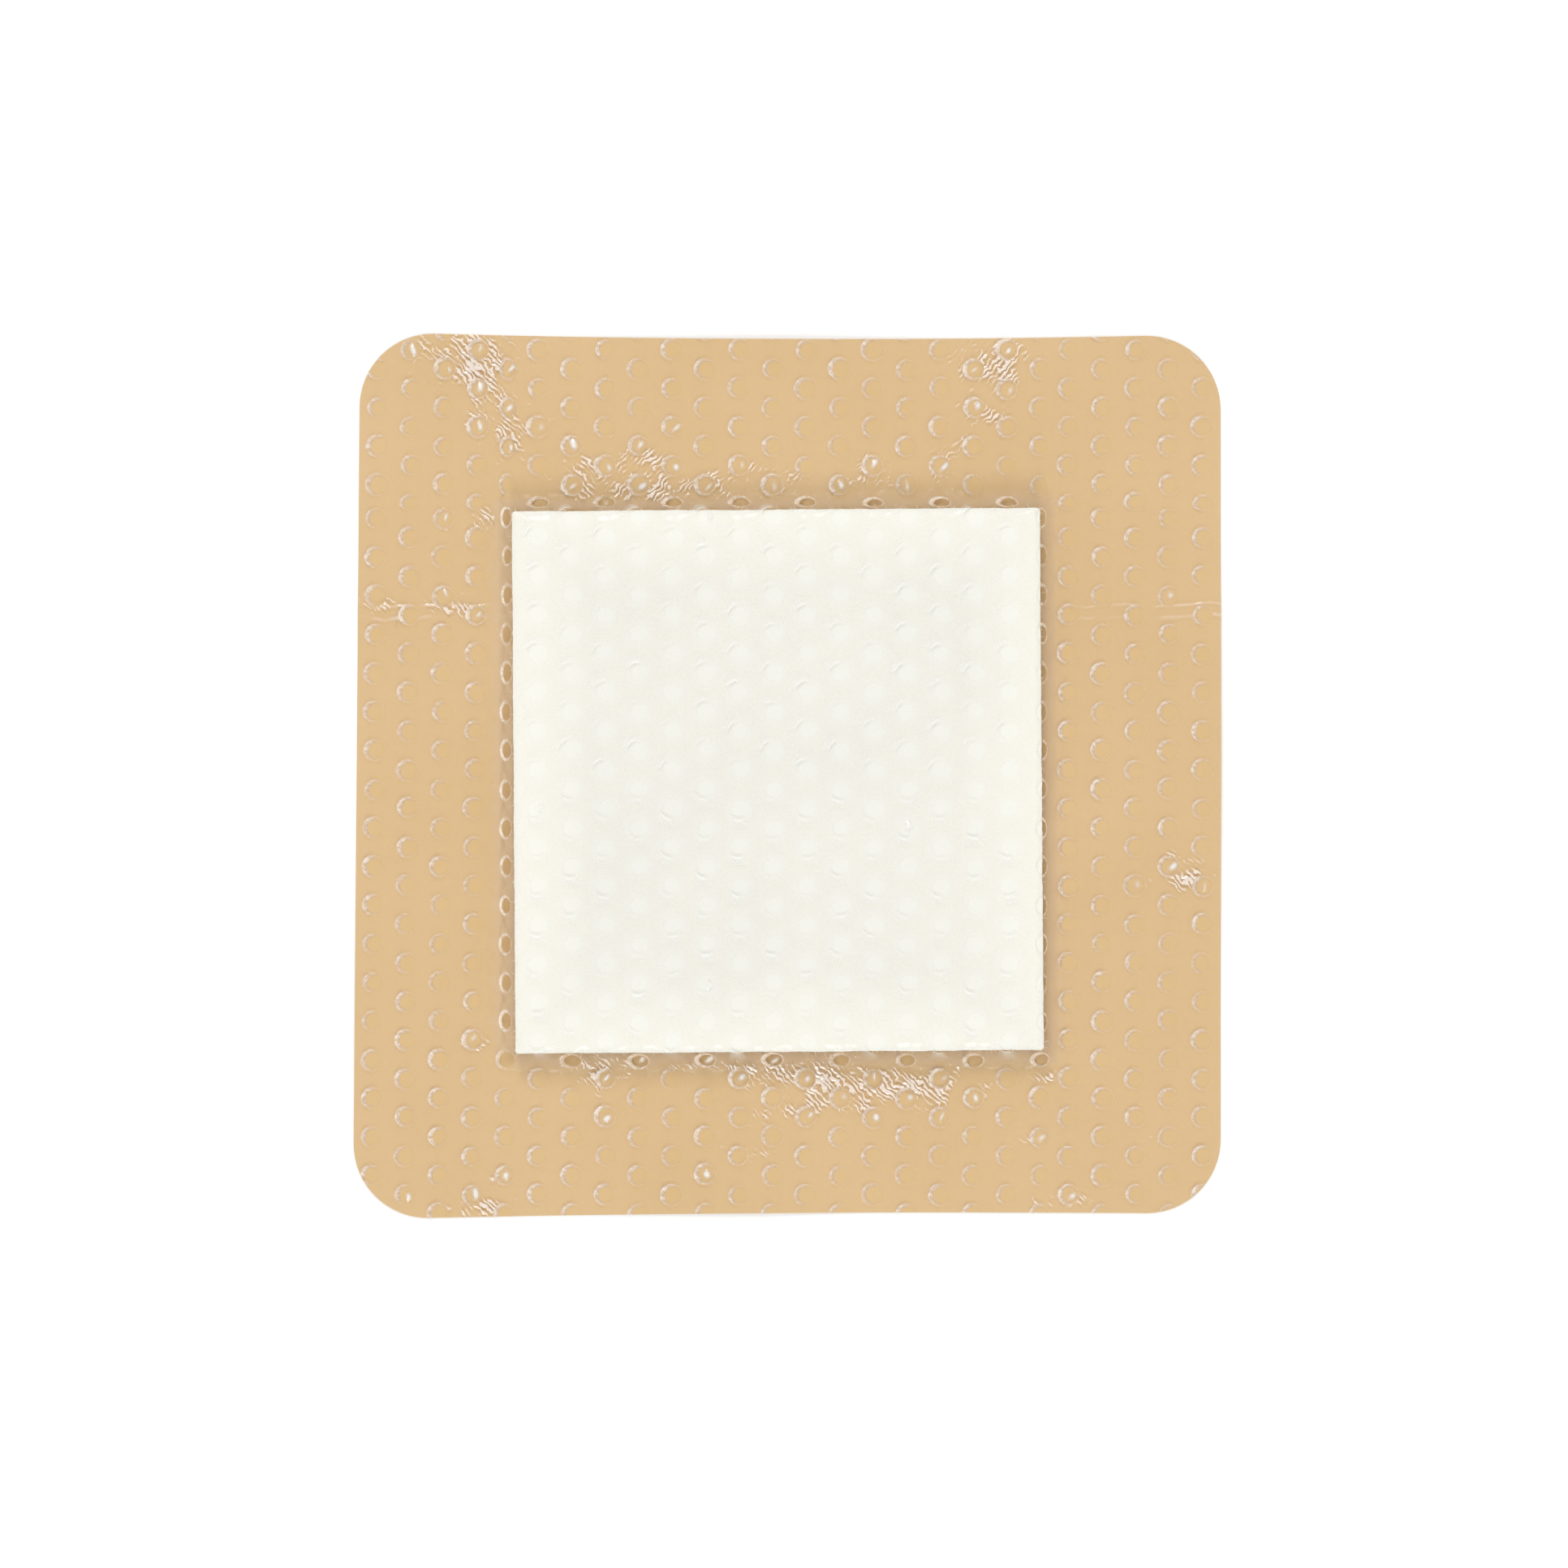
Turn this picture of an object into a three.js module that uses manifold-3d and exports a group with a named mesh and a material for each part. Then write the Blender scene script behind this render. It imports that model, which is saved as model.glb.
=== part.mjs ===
// A bordered silicone foam wound dressing, lying flat with its wound side up.
// Millimetres. +Z is up, towards the wound side, +X to the right and +Y away, seen from above.
// The origin is under the middle of the dressing, on the surface that it lies on.
import * as THREE from "three";
import { mergeVertices } from "three/addons/utils/BufferGeometryUtils.js";
import Module from "manifold-3d";

// The outline, which is the same for the backing film and for the silicone film over it.
const DRESSING_WIDTH = 99.7;
const DRESSING_LENGTH = 101.7;
const CORNER_RADIUS = 8.5;
const LEFT_LEAN = 0.8; // how far the far left corner stands in from the near left one
const FAR_RIGHT_DROP = 0.3; // how far the far right corner is drawn down
const NEAR_RIGHT_RISE = 0.65; // how far the near right corner is drawn up
const FAR_BOW = 0.5; // how far the middle of the far side is drawn in
const NEAR_BOW = 0.3; // the same for the near side
const CORNER_STEPS = 7;
const SIDE_STEPS = 4;

// The layers, from the bottom up.
const BACKING_THICKNESS = 0.15;
const PAD_THICKNESS = 3.5;
const SILICONE_THICKNESS = 0.35;

// The foam pad, which was laid a little off the middle and not quite square to the outline.
const PAD_WIDTH = 60.4;
const PAD_LENGTH = 62;
const PAD_X = -1.05;
const PAD_Y = -0.55;
const PAD_TURN_DEG = 0.4;

// The tent: how far from each side of the pad the silicone film lands on the border.
const TENT_LEFT = 2.6;
const TENT_RIGHT = 2.2;
const TENT_FAR = 1.6;
const TENT_NEAR = 1.9;

// The perforations: round holes on an even triangular net, in columns that run away from the viewer.
const HOLE_DIAMETER = 1.95;
const HOLE_SPACING = 4.44;
const HOLE_FIRST_X = -1.49;
const HOLE_FIRST_Y = -1.53;
const HOLE_SIDES = 5; // a pentagon as large as the round hole stands in for it
const PIT_FLOOR = 0.05; // film left under a hole in the border, where the backing closes it

// What climbing the pad takes from the film draws the holes beyond each tent nearer to the pad.
// The near side has enough slack to draw none.
const DRAW_LEFT = 0.42;
const DRAW_RIGHT = 0.6;
const DRAW_FAR = 0.58;

const CUT_OVERRUN = 0.05; // how far a cutter goes on past the faces that it cuts

const BACKING_TOP = BACKING_THICKNESS;
const PAD_TOP = BACKING_TOP + PAD_THICKNESS;

const wasm = await Module();
wasm.setup();

// A closed geometry as a solid that can be joined and cut.
function solidOf(geometry) {
  const bare = geometry.clone();
  bare.deleteAttribute("normal");
  bare.deleteAttribute("uv");
  const merged = mergeVertices(bare, 1e-5);
  const mesh = new wasm.Mesh({
    numProp: 3,
    vertProperties: merged.attributes.position.array,
    triVerts: new Uint32Array(merged.index.array),
  });
  return new wasm.Manifold(mesh);
}

// A solid as a three.js geometry again.
function geometryOf(solid) {
  const mesh = solid.getMesh();
  const geometry = new THREE.BufferGeometry();
  geometry.setAttribute("position", new THREE.BufferAttribute(mesh.vertProperties, 3));
  geometry.setIndex(new THREE.BufferAttribute(mesh.triVerts, 1));
  return geometry;
}

function piece(name, geometry, look) {
  const material = new THREE.MeshStandardMaterial({ metalness: 0, flatShading: true, ...look });
  const mesh = new THREE.Mesh(geometry, material);
  mesh.name = name;
  return mesh;
}

// The outline's four corners before they are rounded, from the near left one anticlockwise.
// Each holds the bow of the side that starts there.
function outlineCorners() {
  const x = DRESSING_WIDTH / 2;
  const y = DRESSING_LENGTH / 2;
  const corner = (atX, atY, bow) => ({ at: new THREE.Vector2(atX, atY), bow });
  return [
    corner(-x, -y, NEAR_BOW),
    corner(x, -y + NEAR_RIGHT_RISE, 0),
    corner(x, y - FAR_RIGHT_DROP, FAR_BOW),
    corner(-x + LEFT_LEAN, y, 0),
  ];
}

// A side runs from one rounded corner to the next as a shallow curve whose middle is drawn in by its bow.
// Each corner is an arc about a centre that stands one radius in from both of its sides.
function outlinePoints() {
  const corners = outlineCorners();
  const points = [];
  corners.forEach(({ at, bow }, i) => {
    const before = corners[(i + 3) % 4].at;
    const next = corners[(i + 1) % 4].at;
    const centre = at
      .clone()
      .add(before.clone().sub(at).setLength(CORNER_RADIUS))
      .add(next.clone().sub(at).setLength(CORNER_RADIUS));
    const start = (i + 2) * (Math.PI / 2);
    const arc = new THREE.EllipseCurve(
      centre.x,
      centre.y,
      CORNER_RADIUS,
      CORNER_RADIUS,
      start,
      start + Math.PI / 2,
    );
    points.push(...arc.getPoints(CORNER_STEPS));
    const from = points[points.length - 1];
    const to = next.clone().add(at.clone().sub(next).setLength(CORNER_RADIUS));
    const inward = new THREE.Vector2(from.y - to.y, to.x - from.x).setLength(2 * bow);
    const side = new THREE.QuadraticBezierCurve(
      from,
      from.clone().add(to).multiplyScalar(0.5).add(inward),
      to,
    );
    points.push(...side.getPoints(SIDE_STEPS).slice(1, -1));
  });
  return points;
}

// A flat sheet of the dressing's outline, standing on the given height.
function sheet(bottom, thickness) {
  const shape = new THREE.Shape(outlinePoints());
  const geometry = new THREE.ExtrudeGeometry(shape, { depth: thickness, bevelEnabled: false });
  return geometry.translate(0, 0, bottom);
}

// Puts a geometry that was made about the pad's own middle where the pad lies.
function placeAtPad(geometry) {
  geometry.rotateZ(THREE.MathUtils.degToRad(PAD_TURN_DEG));
  return geometry.translate(PAD_X, PAD_Y, 0);
}

function padGeometry() {
  const block = new THREE.BoxGeometry(PAD_WIDTH, PAD_LENGTH, PAD_THICKNESS);
  return placeAtPad(block.translate(0, 0, BACKING_TOP + PAD_THICKNESS / 2));
}

// The space under the tent: the pad's top edge joined to the foot lines on the border by four slopes.
// The slopes go on below the foot lines to the given depth. A box is bent to this shape.
function tentSpace(depth) {
  const block = new THREE.BoxGeometry(PAD_WIDTH, PAD_LENGTH, PAD_THICKNESS + depth);
  block.translate(0, 0, PAD_TOP - (PAD_THICKNESS + depth) / 2);
  const corner = block.getAttribute("position");
  for (let i = 0; i < corner.count; i++) {
    if (corner.getZ(i) > BACKING_TOP + PAD_THICKNESS / 2) continue;
    const spread = (PAD_THICKNESS + depth) / PAD_THICKNESS;
    const x = corner.getX(i);
    const y = corner.getY(i);
    corner.setX(i, x + spread * (x < 0 ? -TENT_LEFT : TENT_RIGHT));
    corner.setY(i, y + spread * (y < 0 ? -TENT_NEAR : TENT_FAR));
  }
  return placeAtPad(block);
}

// From 0 at the pad's edge to 1 where the tent lands.
function share(distance, run) {
  return THREE.MathUtils.clamp(distance / run, 0, 1);
}

// Where a hole of the flat film lies once the film is laid over the pad.
function drapedHole(x, y) {
  const left = share(PAD_X - PAD_WIDTH / 2 - x, TENT_LEFT);
  const right = share(x - PAD_X - PAD_WIDTH / 2, TENT_RIGHT);
  const far = share(y - PAD_Y - PAD_LENGTH / 2, TENT_FAR);
  const lean = (LEFT_LEAN * y) / DRESSING_LENGTH;
  return new THREE.Vector2(x + left * (DRAW_LEFT + lean) - right * DRAW_RIGHT, y - far * DRAW_FAR);
}

// Whether a point lies in an outline: a ray to its right then crosses the outline an odd number of times.
function isInside(point, outline) {
  const crossed = outline.filter((from, i) => {
    const to = outline[(i + 1) % outline.length];
    const along = (point.y - from.y) / (to.y - from.y);
    return along >= 0 && along < 1 && from.x + along * (to.x - from.x) > point.x;
  });
  return crossed.length % 2 === 1;
}

// Whether a hole lies over the pad or reaches the tent around it.
function meetsTent(middle) {
  const reach = holeCornerRadius();
  const local = middle
    .clone()
    .sub(new THREE.Vector2(PAD_X, PAD_Y))
    .rotateAround(new THREE.Vector2(), -THREE.MathUtils.degToRad(PAD_TURN_DEG));
  return (
    local.x > -PAD_WIDTH / 2 - TENT_LEFT - reach &&
    local.x < PAD_WIDTH / 2 + TENT_RIGHT + reach &&
    local.y > -PAD_LENGTH / 2 - TENT_NEAR - reach &&
    local.y < PAD_LENGTH / 2 + TENT_FAR + reach
  );
}

// The holes' middles, column by column. Every other column is shifted by half the spacing.
function holeMiddles() {
  const outline = outlinePoints();
  const pitch = HOLE_SPACING * Math.sin(Math.PI / 3);
  const columns = Math.ceil(DRESSING_WIDTH / pitch);
  const rows = Math.ceil(DRESSING_LENGTH / HOLE_SPACING);
  const middles = [];
  for (let column = -columns; column <= columns; column++) {
    const shift = column % 2 === 0 ? 0 : HOLE_SPACING / 2;
    for (let row = -rows; row <= rows; row++) {
      const x = HOLE_FIRST_X + column * pitch;
      const y = HOLE_FIRST_Y + row * HOLE_SPACING - shift;
      const middle = drapedHole(x, y);
      if (isInside(middle, outline)) middles.push(middle);
    }
  }
  return middles;
}

// The corner radius of the polygon that is as large as a round hole.
function holeCornerRadius() {
  const sector = (2 * Math.PI) / HOLE_SIDES;
  return (HOLE_DIAMETER / 2) * Math.sqrt(sector / Math.sin(sector));
}

// The cutter of a hole that goes through the film, over the pad and on the tent.
function throughCutter(middle) {
  const low = BACKING_TOP - CUT_OVERRUN;
  const high = PAD_TOP + SILICONE_THICKNESS + CUT_OVERRUN;
  const radius = holeCornerRadius();
  const prism = new THREE.CylinderGeometry(radius, radius, high - low, HOLE_SIDES);
  return prism.rotateX(Math.PI / 2).translate(middle.x, middle.y, (low + high) / 2);
}

// The cutter of a hole in the border: a cone that ends just above the backing.
function pitCutter(middle) {
  const depth = SILICONE_THICKNESS - PIT_FLOOR;
  const height = depth + CUT_OVERRUN;
  const radius = (holeCornerRadius() * height) / depth;
  const cone = new THREE.ConeGeometry(radius, height, HOLE_SIDES);
  const z = BACKING_TOP + PIT_FLOOR + height / 2;
  return cone.rotateX(-Math.PI / 2).translate(middle.x, middle.y, z);
}

// The clear silicone film: a sheet on the border that rises over the pad, with its perforations.
function siliconeGeometry() {
  const under = solidOf(tentSpace(CUT_OVERRUN));
  const over = solidOf(tentSpace(CUT_OVERRUN).translate(0, 0, SILICONE_THICKNESS));
  const film = solidOf(sheet(BACKING_TOP, SILICONE_THICKNESS)).add(over).subtract(under);
  const cutters = holeMiddles().map((middle) =>
    solidOf(meetsTent(middle) ? throughCutter(middle) : pitCutter(middle)),
  );
  return geometryOf(film.subtract(wasm.Manifold.union(cutters)));
}

const dressing = new THREE.Group();
dressing.add(
  piece("backing_film", sheet(0, BACKING_THICKNESS), { color: 0xdbbc8f, roughness: 0.35 }),
  piece("foam_pad", padGeometry(), { color: 0xf5f3ea, roughness: 0.9 }),
  piece("silicone_contact_layer", siliconeGeometry(), { color: 0xe8dccb, roughness: 0.2 }),
);

export default dressing;
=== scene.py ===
"""A bordered silicone foam wound dressing, lying on its tan backing film with the wound side up.

Run as a script in Blender. Each piece has its own operator, and the panel in the sidebar lists them.
Everything is in metres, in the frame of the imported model: +Z up, +X to the right, +Y away.
"""

import math

import bpy
import numpy as np
from bpy.props import FloatProperty, FloatVectorProperty, IntProperty, PointerProperty
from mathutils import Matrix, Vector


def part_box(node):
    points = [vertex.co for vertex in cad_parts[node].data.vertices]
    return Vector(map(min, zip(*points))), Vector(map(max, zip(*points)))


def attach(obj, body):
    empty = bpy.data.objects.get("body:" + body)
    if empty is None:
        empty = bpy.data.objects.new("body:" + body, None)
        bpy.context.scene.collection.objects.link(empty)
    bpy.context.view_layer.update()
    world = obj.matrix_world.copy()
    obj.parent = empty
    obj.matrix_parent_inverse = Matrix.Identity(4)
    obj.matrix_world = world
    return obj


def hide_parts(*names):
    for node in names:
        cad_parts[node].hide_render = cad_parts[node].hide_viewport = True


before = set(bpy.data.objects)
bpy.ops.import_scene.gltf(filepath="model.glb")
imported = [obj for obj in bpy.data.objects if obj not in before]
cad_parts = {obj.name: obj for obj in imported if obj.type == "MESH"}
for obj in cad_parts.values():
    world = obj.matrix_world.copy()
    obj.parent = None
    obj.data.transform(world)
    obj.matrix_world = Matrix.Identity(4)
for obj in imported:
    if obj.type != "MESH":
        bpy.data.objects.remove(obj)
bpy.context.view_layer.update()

bl_info = {
    "name": "Silicone foam dressing",
    "version": (1, 0, 0),
    "blender": (4, 5, 0),
    "location": "View3D > Sidebar > Dressing",
    "description": "Makes the films, the foam pad and the stage of a bordered foam dressing",
    "category": "Add Mesh",
}

MM = 0.001
BODY = "root"
SHARP_ANGLE = math.radians(50)  # edges that turn by more than this stay sharp in the shading

BACKING_LOW, BACKING_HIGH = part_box("backing_film")
PAD_LOW, PAD_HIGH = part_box("foam_pad")
FILM_LOW, FILM_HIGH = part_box("silicone_contact_layer")


def length(name, description, millimetres):
    """A size in metres that a user may change, with its default given in millimetres."""
    return FloatProperty(
        name=name, description=description, default=millimetres * MM, unit="LENGTH", precision=5
    )


def colour(name, description, rgb):
    """A colour in linear light that a user may change."""
    return FloatVectorProperty(
        name=name, description=description, default=rgb, size=3, min=0, max=1, subtype="COLOR"
    )


class DressingOutline(bpy.types.PropertyGroup):
    """The cut shape that both films share."""

    width: length("Width", "Across the dressing", 99.7)
    length: length("Length", "Along the dressing", 101.7)
    corner_radius: length("Corner radius", "Radius of the four corners", 8.5)
    left_lean: length("Left lean", "How far the far left corner stands in", 0.8)
    far_right_drop: length("Far right drop", "How far the far right corner is drawn down", 0.3)
    near_right_rise: length("Near right rise", "How far the near right corner is drawn up", 0.65)
    far_bow: length("Far bow", "How far the middle of the far side is drawn in", 0.5)
    near_bow: length("Near bow", "How far the middle of the near side is drawn in", 0.3)


class DressingPad(bpy.types.PropertyGroup):
    """The foam pad and how it lies."""

    width: length("Width", "Across the pad", 60.4)
    length: length("Length", "Along the pad", 62)
    x: length("Off the middle, X", "How far the pad lies to the right", -1.05)
    y: length("Off the middle, Y", "How far the pad lies away", -0.55)
    turn: FloatProperty(
        name="Turn",
        description="How far the pad is turned from square to the outline",
        default=math.radians(0.4),
        subtype="ANGLE",
    )
    edge_radius: length("Edge radius", "How round the cut edges are", 0.16)
    fibres: IntProperty(name="Fibres", description="Loose fibres along the cut edges", default=640)
    foam: colour("Foam", "Colour of the foam", (0.90, 0.895, 0.82))


class DressingFilm(bpy.types.PropertyGroup):
    """The clear perforated film and how it drapes over the pad."""

    tent_left: length("Tent, left", "From the pad to where the film lands", 2.6)
    tent_right: length("Tent, right", "From the pad to where the film lands", 2.2)
    tent_far: length("Tent, far", "From the pad to where the film lands", 1.6)
    tent_near: length("Tent, near", "From the pad to where the film lands", 1.9)
    draw_left: length("Draw, left", "How far the tent draws the left holes in", 0.42)
    draw_right: length("Draw, right", "How far the tent draws the right holes in", 0.6)
    draw_far: length("Draw, far", "How far the tent draws the far holes in", 0.58)
    hole_spacing: length("Hole spacing", "From hole to hole", 4.44)
    hole_diameter: length("Hole diameter", "Across a hole at the backing", 1.85)
    mouth_diameter: length("Mouth diameter", "Across a hole at the film's top", 2.32)
    hole_slant: length("Hole slant", "How far a hole's mouth lies to the left of its foot", 0.2)
    first_x: length("First hole, X", "Middle of one hole", -1.49)
    first_y: length("First hole, Y", "Middle of one hole", -1.53)
    crest: length("Crest", "Height of the soft rim round a hole", 0.05)
    clear: colour("Silicone", "Colour of the silicone where it shows", (0.98, 0.86, 0.75))
    rim: colour("Rim", "Colour of the silicone where it was punched", (0.99, 0.87, 0.74))


class DressingBacking(bpy.types.PropertyGroup):
    """The tan film underneath."""

    tan: colour("Tan", "Colour of the backing film", (0.725, 0.502, 0.246))


PROPERTY_GROUPS = {
    "dressing_outline": DressingOutline,
    "dressing_pad": DressingPad,
    "dressing_film": DressingFilm,
    "dressing_backing": DressingBacking,
}


# Shapes worked out on whole arrays


def unit(vector):
    """The vector at a length of 1."""
    return vector / np.linalg.norm(vector)


def smooth(t):
    """0 below 0, 1 above 1, and 3t^2 - 2t^3 in between."""
    t = np.clip(t, 0, 1)
    return t * t * (3 - 2 * t)


NOISE_NET = 64
NOISE_OFFSET = 1000  # keeps every index into the net above zero


def soft_noise(x, y, scale, seed):
    """Values from -1 to 1 that change over about one scale: random numbers on a square net that repeats,
    blended smoothly."""
    net = np.random.default_rng(seed).uniform(-1, 1, (NOISE_NET, NOISE_NET))
    u, v = x / scale + NOISE_OFFSET, y / scale + NOISE_OFFSET
    i, j = np.floor(u).astype(int), np.floor(v).astype(int)
    a, b = smooth(u - i), smooth(v - j)
    i0, j0, i1, j1 = (index % NOISE_NET for index in (i, j, i + 1, j + 1))
    low = net[i0, j0] * (1 - a) + net[i1, j0] * a
    high = net[i0, j1] * (1 - a) + net[i1, j1] * a
    return low * (1 - b) + high * b


def ridges(x, y, scale, seed):
    """Sharp-crested folds from 0 to 1, where soft noise passes through zero."""
    return (1 - np.abs(soft_noise(x, y, scale, seed))) ** 5


def outline_points(outline, arc_steps=16, side_steps=56):
    """The cut outline, anticlockwise from the near left corner.
    A side is a parabola whose middle is drawn in by its bow, and a corner is an arc about a centre
    that stands one radius in from both of its sides."""
    x, y, radius = outline.width / 2, outline.length / 2, outline.corner_radius
    corners = np.array([
        [-x, -y],
        [x, -y + outline.near_right_rise],
        [x, y - outline.far_right_drop],
        [-x + outline.left_lean, y],
    ])
    bows = [outline.near_bow, 0, outline.far_bow, 0]
    parts = []
    for i, (at, bow) in enumerate(zip(corners, bows)):
        before, after = corners[i - 1], corners[(i + 1) % 4]
        centre = at + radius * (unit(before - at) + unit(after - at))
        angle = (i + 2) * math.pi / 2 + np.linspace(0, math.pi / 2, arc_steps + 1)
        arc = centre + radius * np.stack([np.cos(angle), np.sin(angle)], 1)
        start, end = arc[-1], after + radius * unit(at - after)
        t = np.linspace(0, 1, side_steps + 1)[1:-1, None]
        inward = unit(np.array([start[1] - end[1], end[0] - start[0]]))
        parts += [arc, start + (end - start) * t + inward * bow * 4 * t * (1 - t)]
    return np.concatenate(parts)


def outline_area(outline):
    """The area inside the cut outline, by the shoelace formula."""
    x, y = outline_points(outline).T
    return float(abs(np.dot(x, np.roll(y, -1)) - np.dot(y, np.roll(x, -1))) / 2)


def inside(points, line):
    """Whether each point lies in a closed line: a ray to its right then crosses the line an odd number of
    times."""
    a, b = line, np.roll(line, -1, 0)
    y = points[:, 1, None]
    with np.errstate(divide="ignore", invalid="ignore"):
        along = (y - a[:, 1]) / (b[:, 1] - a[:, 1])
        at = a[:, 0] + along * (b[:, 0] - a[:, 0])
    crossed = (along >= 0) & (along < 1) & (at > points[:, 0, None])
    return crossed.sum(1) % 2 == 1


def nearest_on(points, line):
    """The nearest point of a closed line to each point, on whichever of its stretches is closest."""
    a, b = line, np.roll(line, -1, 0)
    run = b - a
    t = ((points[:, None] - a) * run).sum(2) / (run * run).sum(1)
    foot = a + np.clip(t, 0, 1)[..., None] * run
    best = ((foot - points[:, None]) ** 2).sum(2).argmin(1)
    return foot[np.arange(len(points)), best]


# Places, in millimetres, where the film has come up a little and wrinkled, and carries painted highlight:
# middle x, middle y, reach in x, reach in y, strength.
WRINKLED = (
    (-37.7, 48.2, 5.0, 2.8, 1.25),
    (-34.5, 45.5, 3.0, 4.0, 0.8),
    (-36.0, 41.0, 1.8, 2.4, 0.6),
    (-32.0, 39.5, 2.2, 4.0, 0.8),
    (-28.4, 39.7, 1.5, 1.5, 0.5),
    (-24.5, 35.5, 2.6, 4.0, 0.75),
    (-20.5, 35.5, 2.6, 2.4, 0.8),
    (-15.8, 36.0, 2.4, 3.6, 1.05),
    (-17.5, 33.0, 5.0, 1.3, 0.8),
    (-9.0, 33.4, 4.0, 1.3, 0.9),
    (-6.5, 35.2, 2.4, 1.8, 0.7),
    (-1.8, 34.0, 4.0, 2.2, 0.65),
    (5.6, 33.3, 3.5, 1.3, 0.65),
    (9.4, 35.4, 2.2, 1.8, 0.85),
    (15.0, 33.4, 6.0, 1.0, 0.6),
    (17.8, 36.2, 2.0, 3.4, 0.6),
    (22.5, 47.0, 3.2, 2.4, 1.1),
    (25.0, 48.8, 2.4, 1.8, 1.1),
    (24.8, 43.5, 2.2, 3.2, 0.85),
    (21.0, 41.5, 2.4, 3.0, 0.7),
    (-34.8, 29.6, 1.6, 1.3, 1.25),
    (-39.5, 29.0, 1.6, 1.6, 0.5),
    (-47.0, 19.6, 2.4, 0.9, 1.1),
    (-39.4, 19.8, 3.0, 0.9, 1.0),
    (-36.0, 18.5, 2.2, 1.0, 0.9),
    (-35.2, -30.9, 1.6, 0.9, 1.3),
    (-21.6, -34.6, 2.6, 1.8, 1.15),
    (-20.0, -33.1, 6.0, 0.6, 1.1),
    (-8.0, -33.2, 4.5, 0.6, 1.0),
    (-4.4, -34.5, 2.2, 1.2, 1.2),
    (0.5, -34.2, 3.4, 1.6, 1.2),
    (-21.4, -39.6, 1.6, 1.1, 0.6),
    (-2.5, -39.0, 4.0, 1.4, 0.7),
    (-4.0, -43.0, 3.2, 1.6, 0.6),
    (-9.7, -46.0, 1.5, 1.5, 0.55),
    (-33.5, -46.2, 2.4, 1.4, 0.5),
    (-35.4, -49.7, 5.0, 0.9, 1.2),
    (-25.0, -49.2, 2.4, 0.8, 0.8),
    (5.0, -34.8, 4.6, 2.2, 1.25),
    (2.0, -38.2, 3.2, 1.5, 0.8),
    (10.6, -35.6, 4.6, 1.9, 1.15),
    (8.4, -38.4, 2.4, 1.2, 0.75),
    (16.8, -35.4, 3.6, 2.0, 1.15),
    (16.8, -38.8, 2.0, 1.2, 0.65),
    (22.2, -36.2, 2.2, 1.4, 0.75),
    (29.4, -34.5, 1.7, 0.8, 1.3),
    (28.5, -40.9, 2.0, 2.0, 0.55),
    (42.5, -41.8, 3.2, 1.1, 0.55),
    (31.8, -48.9, 3.5, 1.1, 1.0),
    (43.9, -10.2, 3.0, 1.4, 1.0),
    (46.2, -12.0, 2.6, 1.2, 1.5),
    (39.8, -13.0, 1.6, 1.2, 0.55),
)

# Stretches of the cut edge that curl up from the surface, in millimetres:
# middle x, middle y, reach in x, reach in y, height.
CURLED = (
    (50.0, 3.5, 3.2, 17.0, 0.7),
    (-1.0, 50.5, 14.0, 2.6, 0.35),
    (-5.0, -50.5, 10.0, 2.6, 0.35),
    (-50.0, -30.0, 2.5, 14.0, 0.25),
)

# The fold across both borders: where it lies, the gap between its two lines, their height and half width,
# and how near to the pad it comes on either side.
FOLD_Y = 18.9 * MM
FOLD_GAP = 1.35 * MM
FOLD_HEIGHT = 0.12 * MM
FOLD_HALF_WIDTH = 0.5 * MM
FOLD_LEFT = -34.0 * MM
FOLD_RIGHT = 33.5 * MM
FOLD_FADE = 3 * MM
FOLD_WANDER = 1.6 * MM  # how far its lines of painted highlight stray

# The slow wave of the border: how far from the middle it begins in x and y, over what reach, and its height.
WAVE_FROM_X = 32 * MM
WAVE_FROM_Y = 33 * MM
WAVE_REACH = 8 * MM
WAVE_HEIGHT = 0.06 * MM


def bumps(x, y, places):
    """The sum of soft round hills, each exp(-(dx/rx)^2 - (dy/ry)^2) times its strength."""
    total = np.zeros_like(x)
    for at_x, at_y, reach_x, reach_y, strength in places:
        across = (x - at_x * MM) / (reach_x * MM)
        along = (y - at_y * MM) / (reach_y * MM)
        total += strength * np.exp(-across * across - along * along)
    return total


def border_lift(x, y):
    """How far the border stands off what it lies on: curled stretches, a crossing fold and a slow wave."""
    curl = bumps(x, y, CURLED) * MM
    fold = np.zeros_like(x)
    wander = 0.25 * MM * soft_noise(x, x * 0, 5 * MM, 21)
    for side in (-0.5, 0.5):
        across = (y - FOLD_Y - side * FOLD_GAP - wander) / FOLD_HALF_WIDTH
        fold += FOLD_HEIGHT * np.exp(-across * across)
    beyond = smooth((FOLD_LEFT - x) / FOLD_FADE) + 0.7 * smooth((x - FOLD_RIGHT) / FOLD_FADE)
    off_pad = np.maximum(np.abs(x) - WAVE_FROM_X, np.abs(y) - WAVE_FROM_Y)
    wave = WAVE_HEIGHT * (1 + soft_noise(x, y, 9 * MM, 22)) * smooth(off_pad / WAVE_REACH)
    return curl + fold * beyond + wave


def pad_frame(pad, x, y):
    """Places in the pad's own frame, where its sides run along the axes."""
    c, s = math.cos(pad.turn), math.sin(pad.turn)
    dx, dy = x - pad.x, y - pad.y
    return c * dx + s * dy, -s * dx + c * dy


def from_pad_frame(pad, x, y):
    """Places in the dressing's frame, from those in the pad's own."""
    c, s = math.cos(pad.turn), math.sin(pad.turn)
    return pad.x + c * x - s * y, pad.y + s * x + c * y


def on_pad(pad, x, y, margin):
    """Whether each place lies over the pad, by at least that margin."""
    u, v = pad_frame(pad, x, y)
    return (np.abs(u) < pad.width / 2 - margin) & (np.abs(v) < pad.length / 2 - margin)


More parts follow.
